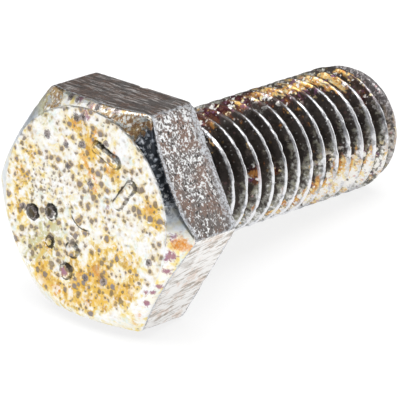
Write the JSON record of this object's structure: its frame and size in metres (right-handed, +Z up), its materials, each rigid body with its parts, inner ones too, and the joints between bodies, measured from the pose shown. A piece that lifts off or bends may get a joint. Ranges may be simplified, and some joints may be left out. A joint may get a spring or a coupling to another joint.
{
  "type": "hexagon head screw",
  "caption": "Steel hexagon head screw threaded nearly up to the head, with a chamfered head, a raised seat, a plain neck and a tapered end; stained and pitted yellow zinc.",
  "frame": {"origin": "middle of the screw's box, on the surface that it lies on", "axes": "+X along the screw from head to tip, seen from above; +Y across it; +Z up"},
  "size_m": [0.0326, 0.0192, 0.0174],
  "materials": {
    "zinc_steel": "steel with yellow-passivated zinc plating, stained brown and pitted, worn bright on crests and edges"
  },
  "bodies": {
    "root": {"screw": "zinc_steel"}
  },
  "joints": []
}
